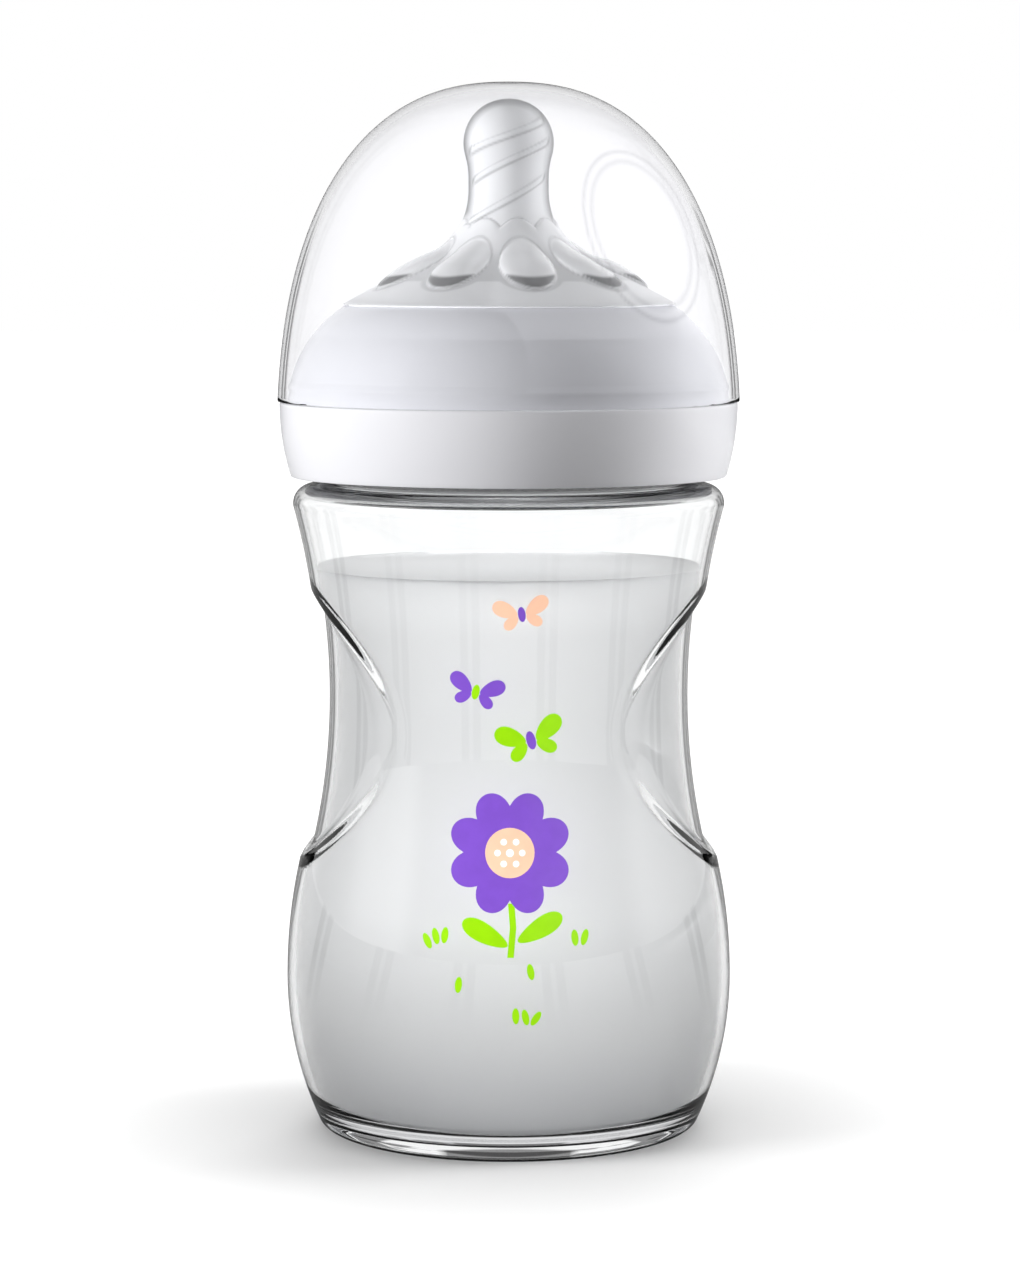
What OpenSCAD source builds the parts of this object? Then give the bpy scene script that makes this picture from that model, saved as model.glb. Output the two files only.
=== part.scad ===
// Wide-neck baby bottle: clear body, screw ring, silicone teat and push-on dome cap.
// Millimetres, +Z up, origin at the centre of the base. The grips face +X and -X.

/* [Bottle body] */
// Largest radius of the belly
belly_r = 36; // [34:0.5:38]
// Height of the widest part of the belly
belly_z = 24.3; // [22:0.1:28]
// Radius of the curve from the belly down to the foot
belly_curve_r = 56; // [50:1:64]
// Smallest radius of the waist, front and back
waist_r = 30.6; // [30:0.1:32]
// Height of the narrowest part of the waist
waist_z = 70.5; // [68:0.5:73]
// Radius of the long hollow curve of the waist
waist_curve_r = 115; // [110:1:130]
// Height of the top of the shoulder
shoulder_z = 104; // [103:0.1:105]
// Radius of the rounded shoulder edge
shoulder_round = 3; // [2.5:0.1:3.5]
// Radius of the rounded edge of the foot
foot_round = 1.8; // [1:0.1:2.5]
// Thickness of the walls
bottle_wall = 1.8; // [1.5:0.1:2]
// Height of the inner floor
floor_z = 3.2; // [3:0.1:5]
// Radius of the inner corner around the floor
floor_round = 6; // [4:0.5:8]
// Rise of the hollow under the base
push_up = 1.6; // [1:0.1:1.8]

/* [Side grips] */
// Distance from the axis to the middle of a grip
grip_x = 28.9; // [28.5:0.1:29.5]
// Radius of a grip across the bottle
grip_plan_r = 33; // [32:0.5:36]
// Radius of the hollow curve of a grip along the bottle
grip_curve_r = 108; // [100:1:115]
// Radius of the round outline of a grip
grip_outline_r = 22.5; // [20:0.5:24]
// Height of the middle of a grip's outline
grip_z = 64.9; // [62:0.1:67]

/* [Neck and thread] */
// Outer radius of the neck
neck_r = 30.3; // [30:0.1:30.5]
// Thickness of the neck's wall
neck_wall = 2; // [1.8:0.1:2.2]
// Height of the neck's rim
rim_z = 124.15; // [123:0.05:124.2]
// Rise of the thread in one turn
thread_pitch = 6; // [5:0.5:6.5]
// How far the neck's thread stands out
thread_depth = 1.4; // [1:0.1:1.4]
// Turns of the neck's thread
neck_turns = 1.25; // [1:0.05:1.4]
// Turns of the ring's thread
ring_turns = 1.1; // [0.9:0.05:1.2]

/* [Screw ring] */
// Height of the ring's lower edge
ring_z = 105.3; // [105:0.1:106]
// Height of the ledge that carries the cap
ledge_z = 117.2; // [116:0.1:118]
// Radius of the ledge
ledge_r = 36.7; // [36.4:0.1:36.9]
// Radius of the bulging side below the ledge
skirt_curve_r = 41; // [38:1:60]
// Radius inside the ring, outside its thread
ring_bore_r = 32.3; // [32.1:0.1:32.4]
// Radius of the curved upper half of the ring
crown_curve_r = 19.1; // [18.9:0.1:19.3]
// Thickness of the curved upper half
crown_wall = 1.8; // [1.5:0.1:2]
// Radius of the hole that the teat passes through
mouth_r = 25.8; // [25:0.1:26]

/* [Teat] */
// Height of the top of the teat
teat_top_z = 165.5; // [163:0.1:165.8]
// Radius of the rounded tip
tip_r = 7.2; // [6.9:0.1:7.5]
// Radius of the narrow part of the stem
stem_r = 6.4; // [6:0.1:6.6]
// Length of the straight part of the stem
stem_length = 1.9; // [0:0.1:3]
// Radius of the curves above and below the stem
flare_curve_r = 12.3; // [11:0.1:13]
// Angle between the cone and the axis
cone_angle = 61; // [60:0.5:62]
// Thickness of the silicone
teat_wall = 1.6; // [1.2:0.1:1.8]
// Number of petals around the cone
petal_count = 9; // [6:1:9]
// Length of one petal down the cone
petal_length = 16; // [14:0.5:17]
// Width of one petal
petal_width = 9.2; // [8:0.1:9.6]
// Thickness of one petal
petal_thickness = 3; // [2:0.1:3.4]
// Height of the spiral ribs on the stem
spiral_height = 0.25; // [0.15:0.05:0.4]
// Diameter of the flow hole in the tip
flow_hole_d = 0.8; // [0.5:0.1:1]

/* [Dome cap] */
// Radius of the dome at its widest, below its edge
dome_r = 37.2; // [37.1:0.1:37.5]
// Height where the dome would be at its widest
dome_mid_z = 108; // [107:0.5:109]
// Rise of the dome above that height
dome_rise = 59.9; // [59.8:0.1:62]
// How square the dome's curve is, where 2 is an ellipse
dome_power = 2.39; // [2.3:0.01:2.5]
// Thickness of the cap
cap_wall = 1.1; // [1:0.1:1.2]
// Direction of the thumb recess, from +X
thumb_angle = -46.5; // [-60:0.5:-30]
// Height of the middle of the thumb recess
thumb_z = 145; // [142:0.5:148]
// Depth of the thumb recess
thumb_depth = 2.4; // [1.8:0.1:2.8]
// Radius of the hollow of the thumb recess
thumb_curve_r = 150; // [80:5:250]

/* [Hidden] */
$fn = 96;

clear_tint = [0.90, 0.94, 0.96, 0.35];
ring_white = [0.95, 0.95, 0.97];
silicone_tint = [0.93, 0.94, 0.95, 0.6];

// Gap between pieces that turn or slide past each other
gap = 0.25;
// How far an added rib is sunk into the wall that carries it
sink = 0.3;

// Centres of the arcs of the body's side, each tangent to the next
lower_belly_x = belly_r - belly_curve_r;
waist_x = waist_r + waist_curve_r;
waist_rise = waist_z - belly_z;
upper_belly_r = (pow(waist_x - belly_r, 2) + pow(waist_rise, 2) - pow(waist_curve_r, 2))
    / (2 * (waist_curve_r - (waist_x - belly_r)));
upper_belly_x = belly_r - upper_belly_r;
belly_end = atan2(waist_rise, waist_x - upper_belly_x);
shoulder_mid_z = shoulder_z - shoulder_round;
shoulder_x = waist_x - sqrt(pow(waist_curve_r + shoulder_round, 2) - pow(shoulder_mid_z - waist_z, 2));
waist_end = atan2(shoulder_mid_z - waist_z, waist_x - shoulder_x);

foot_flat_r = 27.4;
foot_dish_r = 25.8;
neck_fillet = 0.8;
rim_chamfer = 0.5;
neck_bore_r = neck_r - neck_wall;

// Threads: widths of a rib at its root and at its tip, and the drop from the neck's rib to the ring's
rib_root = 2.4;
rib_tip = 1.2;
rib_drop = 1.95;
neck_thread_z = 109.9;
ring_thread_angle = -20;
ring_rib_depth = 1.55;
steps_per_turn = 48;
run_out_steps = 5;

// Screw ring
crown_x = 16.34;
crown_z = 116.13;
crown_inner_r = crown_curve_r - crown_wall;
mouth_top_z = crown_z + sqrt(pow(crown_curve_r, 2) - pow(mouth_r - crown_x, 2));
ring_chamfer = 0.6;
mouth_chamfer = 0.3;
snap_z = 119.6;
snap_height = 0.2;
snap_slope = 0.8;

// Teat: the curves of the stem and the cone
tip_z = teat_top_z - tip_r;
flare_x = stem_r + flare_curve_r;
upper_flare_z = tip_z - sqrt(pow(tip_r + flare_curve_r, 2) - pow(flare_x, 2));
tip_end = atan2(upper_flare_z - tip_z, flare_x);
lower_flare_z = upper_flare_z - stem_length;
cone_slope = tan(cone_angle);
cone_top_z = lower_flare_z - flare_curve_r * sin(cone_angle);
cone_top_r = flare_x - flare_curve_r * cos(cone_angle);
flange_z = rim_z + 0.05;
flange_r = 30;
flange_bore_r = 26.4;
groove_r = mouth_r - 0.3;
groove_top_z = mouth_top_z + gap;
collar_round = 0.4;
collar_r = mouth_r + collar_round;
lip_r = neck_bore_r - gap;
lip_depth = 1.3;
lip_chamfer = 0.3;
shoulder_arc_r = crown_inner_r - gap;
first_petal = -79.2;
petal_mid_r = 15.8;
petal_mid_z = cone_top_z - (petal_mid_r - cone_top_r) / cone_slope;
petal_sink = 0.5;
spiral_width = 1.1;

// Spiral ribs: the height at which each crosses the front or the back, and its rise per radian there
spirals = [[159.3, 2.5], [155.3, 3.1], [149.2, 3.6]];
spiral_reach = 64;
spiral_steps = 16;
spiral_run_out_steps = 3;

// Dome cap
cap_z = ledge_z + 0.05;
cap_snap_z = 118.6;
cap_snap_height = 0.15;
cap_snap_slope = 0.6;

// Points along an arc about [x, z], from angle a to angle b
function arc(x, z, r, a, b, steps) =
    [for (i = [0:steps]) let (t = a + (b - a) * i / steps) [x + r * cos(t), z + r * sin(t)]];

// Radius of a superellipse dome at a part t of its curve, and its height there
function dome_point(r, rise, t) =
    [r * pow(cos(t), 2 / dome_power), dome_mid_z + rise * pow(sin(t), 2 / dome_power)];

// Angle along that dome's curve at which it reaches a height
function dome_start(rise, z) = asin(pow((z - dome_mid_z) / rise, dome_power / 2));

// Radius of that dome at a height
function dome_radius(r, rise, z) = r * pow(1 - pow((z - dome_mid_z) / rise, dome_power), 1 / dome_power);

// Outline of a dome from a height to its top
function dome_outline(r, rise, z) =
    let (start = dome_start(rise, z), steps = 36)
    [for (i = [0:steps]) dome_point(r, rise, start + (90 - start) * i / steps)];

// Radius of the teat's stem at a height
function stem_radius(z) =
    z > upper_flare_z + flare_curve_r * sin(-tip_end) ? sqrt(pow(tip_r, 2) - pow(z - tip_z, 2))
    : z > upper_flare_z ? flare_x - sqrt(pow(flare_curve_r, 2) - pow(z - upper_flare_z, 2))
    : z > lower_flare_z ? stem_r
    : flare_x - sqrt(pow(flare_curve_r, 2) - pow(z - lower_flare_z, 2));

// Side of the body from the belly's foot to the shoulder, moved in by a wall's thickness
function body_side(wall, start) = concat(
    arc(lower_belly_x, belly_z, belly_curve_r - wall, start, 0, 10),
    arc(upper_belly_x, belly_z, upper_belly_r - wall, 0, belly_end, 8),
    arc(waist_x, waist_z, waist_curve_r + wall, 180 + belly_end, 180 - waist_end, 16),
    arc(shoulder_x, shoulder_mid_z, shoulder_round - wall, -waist_end, 90, 8));

// Centre and end angle of a small corner arc that meets the lower belly
function corner_x(wall, round, z) =
    lower_belly_x + sqrt(pow(belly_curve_r - wall - round, 2) - pow(belly_z - z - round, 2));
function corner_end(wall, round, z) = atan2(z + round - belly_z, corner_x(wall, round, z) - lower_belly_x);

// One four-cornered section of a rib that winds about the axis
function section(angle, z, root_r, tip_r, root, tip) = [
    for (c = [[root_r, -root / 2], [root_r, root / 2], [tip_r, tip / 2], [tip_r, -tip / 2]])
        [c[0] * cos(angle), c[0] * sin(angle), z + c[1]]];

// Solid through a list of four-cornered sections
module ribbon(sections) {
    last = len(sections) - 1;
    sides = [for (i = [0:last - 1], k = [0:3], half = [0, 1])
        let (a = 4 * i + k, b = 4 * i + (k + 1) % 4)
        half == 0 ? [a, b + 4, b] : [a, a + 4, b + 4]];
    end = 4 * last;
    ends = [[0, 1, 2], [0, 2, 3], [end, end + 2, end + 1], [end, end + 3, end + 2]];
    polyhedron([for (s = sections, corner = s) corner], concat(sides, ends));
}

// Thread rib that fades out at both ends, on a wall of radius wall_r, standing out or in by depth
module thread(wall_r, depth, z, first_angle, turns) {
    steps = round(turns * steps_per_turn);
    sections = [for (i = [0:steps])
        let (angle = first_angle + 360 * i / steps_per_turn,
            full = min(1, (i + 0.5) / run_out_steps, (steps - i + 0.5) / run_out_steps),
            s = section(angle, z + thread_pitch * angle / 360, wall_r - sink * sign(depth),
                wall_r + depth * full, rib_root, rib_tip))
        depth < 0 ? [s[3], s[2], s[1], s[0]] : s];
    ribbon(sections);
}

// Round-ended hollow of one side grip, for the outside or, with a wall, the inside
module grip_cutter(side, wall) {
    intersection() {
        translate([0, 0, grip_z]) rotate([0, 90 * side, 0])
            cylinder(r = grip_outline_r + wall, h = 60);
        translate([side * (grip_x - grip_plan_r), 0, waist_z]) rotate_extrude()
            translate([grip_plan_r + grip_curve_r, 0]) circle(r = grip_curve_r + wall, $fn = 180);
    }
}

module bottle() {
    foot_x = corner_x(0, foot_round, 0);
    foot_end = corner_end(0, foot_round, 0);
    floor_x = corner_x(bottle_wall, floor_round, floor_z);
    floor_end = corner_end(bottle_wall, floor_round, floor_z);
    outside = concat(
        [[0, push_up], [foot_dish_r, push_up / 2], [foot_flat_r, 0]],
        arc(foot_x, foot_round, foot_round, -90, foot_end, 6),
        body_side(0, foot_end),
        arc(neck_r + neck_fillet, shoulder_z + neck_fillet, neck_fillet, 270, 180, 4),
        [[neck_r, rim_z - rim_chamfer], [neck_r - rim_chamfer, rim_z], [0, rim_z]]);
    inside = concat(
        [[0, floor_z]],
        arc(floor_x, floor_z + floor_round, floor_round, -90, floor_end, 8),
        body_side(bottle_wall, floor_end),
        arc(neck_bore_r + neck_fillet, shoulder_z - bottle_wall + neck_fillet, neck_fillet, 270, 180, 4),
        [[neck_bore_r, rim_z - rim_chamfer], [neck_bore_r + 2 * rim_chamfer, rim_z + rim_chamfer],
            [0, rim_z + rim_chamfer]]);
    color(clear_tint) union() {
        difference() {
            rotate_extrude() polygon(outside);
            for (side = [1, -1]) grip_cutter(side, 0);
            difference() {
                rotate_extrude() polygon(inside);
                for (side = [1, -1]) grip_cutter(side, bottle_wall);
            }
        }
        thread(neck_r, thread_depth, neck_thread_z, 0, neck_turns);
    }
}

module screw_ring() {
    skirt_x = ledge_r - skirt_curve_r;
    skirt_low = -asin((ledge_z - ring_z) / skirt_curve_r);
    crown_base_x = crown_x + sqrt(pow(crown_curve_r, 2) - pow(ledge_z - crown_z, 2));
    snap_r = crown_x + sqrt(pow(crown_curve_r, 2) - pow(snap_z - crown_z, 2));
    outline = concat(
        [[ring_bore_r + ring_chamfer, ring_z]],
        arc(skirt_x, ledge_z, skirt_curve_r, skirt_low, 0, 10),
        [[crown_base_x, ledge_z], [snap_r, snap_z - snap_slope], [snap_r + snap_height, snap_z]],
        arc(crown_x, crown_z, crown_curve_r, asin((snap_z + snap_slope - crown_z) / crown_curve_r),
            acos((mouth_r + mouth_chamfer - crown_x) / crown_curve_r), 16),
        [[mouth_r, mouth_top_z - mouth_chamfer]],
        arc(crown_x, crown_z, crown_inner_r, acos((mouth_r - crown_x) / crown_inner_r),
            acos((ring_bore_r - crown_x) / crown_inner_r), 12),
        [[ring_bore_r, ring_z + ring_chamfer]]);
    color(ring_white) union() {
        rotate_extrude() polygon(outline);
        thread(ring_bore_r, -ring_rib_depth, neck_thread_z - rib_drop, ring_thread_angle, ring_turns);
    }
}

// Ellipsoid set into the teat's cone
module petal(angle) {
    rotate([0, 0, angle]) translate([petal_mid_r, 0, petal_mid_z]) rotate([0, 90 - cone_angle, 0])
        translate([0, 0, -petal_sink]) scale([petal_length / 2, petal_width / 2, petal_thickness / 2])
            sphere(r = 1, $fn = 20);
}

// One rib that climbs the stem to the right, to either side of its middle
module spiral(mid_z, rise, mid_angle) {
    sections = [for (i = [0:spiral_steps])
        let (turn = spiral_reach * (2 * i / spiral_steps - 1),
            z = mid_z + rise * turn * PI / 180,
            r = stem_radius(z),
            full = min(1, (i + 0.2) / spiral_run_out_steps, (spiral_steps - i + 0.2) / spiral_run_out_steps))
        section(mid_angle + turn, z, r - sink, r + spiral_height * full, spiral_width, spiral_width / 2)];
    ribbon(sections);
}

module teat() {
    cavity_cone_r = flare_curve_r + teat_wall;
    cavity_top_r = flare_x - cavity_cone_r * cos(cone_angle);
    cavity_top_z = lower_flare_z - cavity_cone_r * sin(cone_angle);
    cavity_low_r = groove_r - teat_wall - collar_round;
    cavity_low_z = cavity_top_z - (cavity_low_r - cavity_top_r) / cone_slope;
    cone_low_z = cone_top_z - (mouth_r - cone_top_r) / cone_slope;
    outside = concat(
        [[0, flange_z - lip_depth], [lip_r - lip_chamfer, flange_z - lip_depth],
            [lip_r, flange_z - lip_depth + lip_chamfer], [lip_r, flange_z], [flange_r, flange_z]],
        arc(crown_x, crown_z, shoulder_arc_r, acos((flange_r - crown_x) / shoulder_arc_r),
            acos((groove_r - crown_x) / shoulder_arc_r), 8),
        [[groove_r, groove_top_z], [collar_r, groove_top_z], [collar_r, groove_top_z + collar_round / 2],
            [mouth_r, max(cone_low_z, groove_top_z + collar_round)]],
        arc(flare_x, lower_flare_z, flare_curve_r, 180 + cone_angle, 180, 12),
        arc(flare_x, upper_flare_z, flare_curve_r, 180, 180 + tip_end, 5),
        arc(0, tip_z, tip_r, tip_end, 90, 14));
    inside = concat(
        [[0, flange_z - lip_depth - 1], [flange_bore_r, flange_z - lip_depth - 1], [flange_bore_r, flange_z],
            [cavity_low_r, cavity_low_z - teat_wall], [cavity_low_r, cavity_low_z]],
        arc(flare_x, lower_flare_z, cavity_cone_r, 180 + cone_angle, 180, 12),
        arc(flare_x, upper_flare_z, cavity_cone_r, 180, 180 + tip_end, 5),
        arc(0, tip_z, tip_r - teat_wall, tip_end, 90, 12));
    color(silicone_tint) difference() {
        union() {
            rotate_extrude() polygon(outside);
            for (i = [0:petal_count - 1]) petal(first_petal + 360 * i / petal_count);
            for (s = spirals, mid_angle = [-90, 90]) spiral(s[0], s[1], mid_angle);
        }
        rotate_extrude() polygon(inside);
        translate([0, 0, tip_z]) cylinder(d = flow_hole_d, h = 2 * tip_r);
    }
}

// Ball that hollows the dome at the thumb recess, set in by a wall's thickness
module thumb_cutter(wall) {
    r = dome_radius(dome_r, dome_rise, thumb_z);
    slope = dome_radius(dome_r, dome_rise, thumb_z - 0.5) - dome_radius(dome_r, dome_rise, thumb_z + 0.5);
    tilt = atan(slope);
    rotate([0, 0, thumb_angle]) translate([r, 0, thumb_z]) rotate([0, -tilt, 0])
        translate([thumb_curve_r - thumb_depth, 0, 0]) sphere(r = thumb_curve_r + wall, $fn = 240);
}

module dome_cap() {
    rim_r = dome_radius(dome_r, dome_rise, cap_z);
    snap_r = dome_radius(dome_r, dome_rise, cap_snap_z) - cap_wall;
    outside = concat([[0, cap_z]], dome_outline(dome_r, dome_rise, cap_z));
    inside = concat(
        [[0, cap_z - 1], [rim_r - cap_wall, cap_z - 1], [snap_r, cap_snap_z - cap_snap_slope],
            [snap_r - cap_snap_height, cap_snap_z]],
        dome_outline(dome_r - cap_wall, dome_rise - cap_wall, cap_snap_z + cap_snap_slope));
    color(clear_tint) difference() {
        rotate_extrude() polygon(outside);
        thumb_cutter(0);
        difference() {
            rotate_extrude() polygon(inside);
            thumb_cutter(cap_wall);
        }
    }
}

bottle();
screw_ring();
teat();
dome_cap();
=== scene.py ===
"""Baby bottle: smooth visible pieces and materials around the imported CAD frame.

Shapes are worked out in millimetres and stored in metres. +Z is up, and the front faces -Y.
"""
import math

import bpy
import numpy as np
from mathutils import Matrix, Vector


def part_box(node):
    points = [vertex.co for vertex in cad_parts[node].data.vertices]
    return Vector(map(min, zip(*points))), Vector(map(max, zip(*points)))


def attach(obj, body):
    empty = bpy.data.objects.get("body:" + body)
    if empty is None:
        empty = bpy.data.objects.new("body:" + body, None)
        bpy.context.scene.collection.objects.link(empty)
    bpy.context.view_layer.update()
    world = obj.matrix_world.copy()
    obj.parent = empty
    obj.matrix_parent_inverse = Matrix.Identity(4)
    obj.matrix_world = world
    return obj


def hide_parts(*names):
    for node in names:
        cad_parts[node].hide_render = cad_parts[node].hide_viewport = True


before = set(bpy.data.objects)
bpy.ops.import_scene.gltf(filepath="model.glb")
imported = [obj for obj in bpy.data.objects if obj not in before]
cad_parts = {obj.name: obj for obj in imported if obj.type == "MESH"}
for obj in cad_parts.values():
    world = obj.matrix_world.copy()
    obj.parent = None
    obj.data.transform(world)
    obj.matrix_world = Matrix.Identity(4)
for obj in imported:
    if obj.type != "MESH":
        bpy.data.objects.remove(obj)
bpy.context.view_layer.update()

MM = 0.001

# ---------------------------------------------------------------- dimensions, from the CAD frame

BOTTLE_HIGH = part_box("bottle")[1] / MM
RING_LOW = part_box("screw_ring")[0] / MM
TEAT_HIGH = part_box("teat")[1] / MM
CAP_LOW, CAP_HIGH = (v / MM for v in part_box("dome_cap"))

# Body: radii and heights of the outline's arcs, and the radius that each arc is drawn with
BELLY_R, BELLY_Z, BELLY_CURVE = BOTTLE_HIGH.y, 24.3, 56.0
WAIST_R, WAIST_Z, WAIST_CURVE = 30.6, 70.5, 115.0
SHOULDER_Z, SHOULDER_ROUND = 104.0, 3.0
BOTTLE_WALL, FLOOR_Z, FLOOR_ROUND = 1.3, 2.7, 6.0
FOOT_ROUND, PUSH_UP, DISH_R, FOOT_RING_R, FOOT_RING_ROUND = 1.8, 1.4, 26.2, 27.4, 1.0
NECK_R, NECK_WALL, RIM_Z, NECK_ROOT_ROUND, RIM_ROUND = 30.3, 2.0, BOTTLE_HIGH.z, 0.8, 0.6
# Side grips: plan and side curves of the pressed-in face, and the oval that bounds it
GRIP_X, GRIP_PLAN, GRIP_CURVE = 28.9, 32.4, 108.0
GRIP_Z, GRIP_HALF_HEIGHT, GRIP_HALF_WIDTH, GRIP_BAND = 65.5, 20.8, 22.6, 0.06
GRIP_BLEND, GRIP_SIDE, GRIP_INNER_R = 0.04, 0.15, 20
GRIP_LOW_Z, GRIP_HIGH_Z = 35, 95

# Threads: THREAD_HALF and THREAD_FLANK are half the rib's width and the width of its sloping side
PITCH, THREAD_DEPTH, NECK_TURNS, THREAD_Z = 6.0, 1.4, 1.25, 109.9
THREAD_HALF, THREAD_FLANK, THREAD_FADE, THREAD_STEP = 1.25, 0.65, 30, 0.22
RING_TURNS, RING_RIB, RIB_DROP, RING_FIRST_ANGLE = 1.1, 1.55, 1.95, -20.0

# Ring: skirt, ledge for the cap, crown arc about (CROWN_X, CROWN_Z), snap bead and mouth
RING_Z, LEDGE_Z, LEDGE_R, SKIRT_CURVE = RING_LOW.z, 117.2, 36.7, 41.0
RING_BORE, CROWN_R, CROWN_WALL, MOUTH_R = 32.3, 19.1, 1.8, 25.8
CROWN_X, CROWN_Z = 16.34, 116.13
LEDGE_ROUND, SNAP_Z, BORE_TOP_Z, RING_THREAD_TOP = 0.35, 119.6, 122.0, 119

# Teat: tip, stem, flare and cone of the outline, then flange, lip and hole
TIP_R, STEM_R, STEM_LENGTH, FLARE, CONE_ANGLE, TEAT_WALL = 7.2, 6.4, 1.9, 12.3, 61.0, 1.6
TEAT_FLANGE_R, TEAT_BORE_R, FLOW_HOLE_R = 30.0, 26.4, 0.4
PETALS, FIRST_PETAL, PETAL_MID_R, PETAL_RAISED, PETAL_TOP_R, PETAL_TOP_Z = 9, -79.2, 15.8, 1.3, 7.2, 141.5
# The wavy band above the petals: mean height of its upper edge, how far that waves, and its thickness
WAVE_Z, WAVE_HEIGHT, WAVE_RAISED, WAVE_LOW_Z, WAVE_TOP_Z = 144.8, 1.5, 0.4, 139.0, 149
# Spiral ribs: the height at which each crosses the front or the back, and its rise per radian there
SPIRALS, SPIRAL_REACH, SPIRAL_FADE = [(159.3, 2.5), (155.3, 3.1), (149.2, 3.6)], 66, 14
SPIRAL_RAISED, SPIRAL_LOW_Z, SPIRAL_MAX_R = 0.27, 144.0, 9

# Cap: a superellipse dome with a shallow round recess for the thumb
DOME_R, DOME_MID, DOME_POWER, CAP_WALL = 37.2, 108.0, 2.39, 1.1
DOME_RISE = CAP_HIGH.z - DOME_MID
DOME_SAMPLES, DOME_STEP = 900, 0.42
THUMB_ANGLE, THUMB_Z, THUMB_DEPTH, THUMB_CURVE = -46.5, 145.0, 2.4, 150.0
THUMB_ROUND, THUMB_REACH, THUMB_LINE_REACH = 0.8, 22, 24

MILK_Z, MILK_GAP, MENISCUS = 90.7, 0.12, 0.35

# Prints: thickness of the ink and number of rings in a patch's mesh
INK_THICK, INK_RINGS = 0.03, 7
ON_BODY, ON_GREEN, ON_PRINT, ON_TOP = 0.05, 0.04, 0.09, 0.13

AXIS_R = 1e-6  # a smaller radius is a pole: one vertex instead of a row

# ---------------------------------------------------------------- mesh helpers


def arc(x, z, r, a, b, steps):
    """Points along an arc about (x, z), from angle a to angle b in degrees."""
    t = np.radians(np.linspace(a, b, steps + 1))
    return list(zip(x + r * np.cos(t), z + r * np.sin(t)))


def spaced(points, step):
    """The same line with more points, none further apart than step."""
    out = [points[0]]
    for a, b in zip(points, points[1:]):
        n = max(1, math.ceil(math.dist(a, b) / step))
        out += [tuple(a[k] + (b[k] - a[k]) * i / n for k in range(2)) for i in range(1, n + 1)]
    return out


def make_object(name, vertices, faces, sharp=38):
    """A smooth-shaded object from points in mm, with edges steeper than sharp degrees kept sharp."""
    mesh = bpy.data.meshes.new(name)
    mesh.from_pydata([tuple(v) for v in np.asarray(vertices) * MM], [], faces)
    mesh.validate()
    mesh.shade_smooth()
    mesh.set_sharp_from_angle(angle=math.radians(sharp))
    obj = bpy.data.objects.new(name, mesh)
    bpy.context.scene.collection.objects.link(obj)
    return obj


def placed(a, r, z):
    """Points at angle a, radius r and height z."""
    return np.stack([r * np.cos(a), r * np.sin(a), z], -1)


def revolve(name, outline, segments, shape, closed=False, sharp=38):
    """Solid of revolution through (radius, z) points.

    shape(angles, radii, z, index) returns the points in place, where index counts along the outline.
    """
    line = np.array(outline, float)
    angles = np.linspace(0, 2 * np.pi, segments, endpoint=False)
    r = np.repeat(line[:, :1], segments, 1)
    z = np.repeat(line[:, 1:2], segments, 1)
    a = np.repeat(angles[None], len(line), 0)
    xyz = shape(a, r, z, np.arange(len(line))[:, None] + 0 * a)
    vertices, rows = [], []
    for i, (radius, _) in enumerate(line):
        if radius < AXIS_R:
            rows.append([len(vertices)] * segments)
            vertices.append(xyz[i, 0])
        else:
            rows.append(list(range(len(vertices), len(vertices) + segments)))
            vertices.extend(xyz[i])
    pairs = list(zip(rows, rows[1:])) + ([(rows[-1], rows[0])] if closed else [])
    faces = []
    for low, high in pairs:
        for k in range(segments):
            n = (k + 1) % segments
            loop = [low[k], low[n], high[n], high[k]]
            unique = [v for j, v in enumerate(loop) if v != loop[j - 1]]
            if len(unique) > 2:
                faces.append(unique)
    return make_object(name, vertices, faces, sharp)


def smooth_step(x):
    """0 below x = 0, 1 above x = 1 and a smooth rise between."""
    t = np.clip(x, 0, 1)
    return t * t * (3 - 2 * t)


def point_attribute(obj, name, values, outline):
    """Stores one value a point, given as a row of values for each point of the outline that was revolved."""
    rows = [row[:1] if radius < AXIS_R else row for row, (radius, _) in zip(values, outline)]
    attribute = obj.data.attributes.new(name, "FLOAT", "POINT")
    attribute.data.foreach_set("value", np.concatenate(rows).astype(np.float32))


# ---------------------------------------------------------------- bottle

lower_belly_x = BELLY_R - BELLY_CURVE
waist_x = WAIST_R + WAIST_CURVE
waist_rise = WAIST_Z - BELLY_Z
upper_belly_r = ((waist_x - BELLY_R) ** 2 + waist_rise**2 - WAIST_CURVE**2) / (
    2 * (WAIST_CURVE - (waist_x - BELLY_R)))
upper_belly_x = BELLY_R - upper_belly_r
belly_end = math.degrees(math.atan2(waist_rise, waist_x - upper_belly_x))
shoulder_mid = SHOULDER_Z - SHOULDER_ROUND
shoulder_x = waist_x - math.sqrt((WAIST_CURVE + SHOULDER_ROUND) ** 2 - (shoulder_mid - WAIST_Z) ** 2)
waist_end = math.degrees(math.atan2(shoulder_mid - WAIST_Z, waist_x - shoulder_x))


def corner(wall, radius, z):
    """Centre and end angle of the small corner arc that meets the lower belly."""
    x = lower_belly_x + math.sqrt((BELLY_CURVE - wall - radius) ** 2 - (BELLY_Z - z - radius) ** 2)
    return x, math.degrees(math.atan2(z + radius - BELLY_Z, x - lower_belly_x))


def body_side(wall, start):
    """The body's side from angle start on the lower belly up to the shoulder, moved inwards by wall."""
    return (arc(lower_belly_x, BELLY_Z, BELLY_CURVE - wall, start, 0, 34)
            + arc(upper_belly_x, BELLY_Z, upper_belly_r - wall, 0, belly_end, 30)[1:]
            + arc(waist_x, WAIST_Z, WAIST_CURVE + wall, 180 + belly_end, 180 - waist_end, 110)[1:]
            + arc(shoulder_x, shoulder_mid, SHOULDER_ROUND - wall, -waist_end, 90, 16)[1:])


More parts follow.
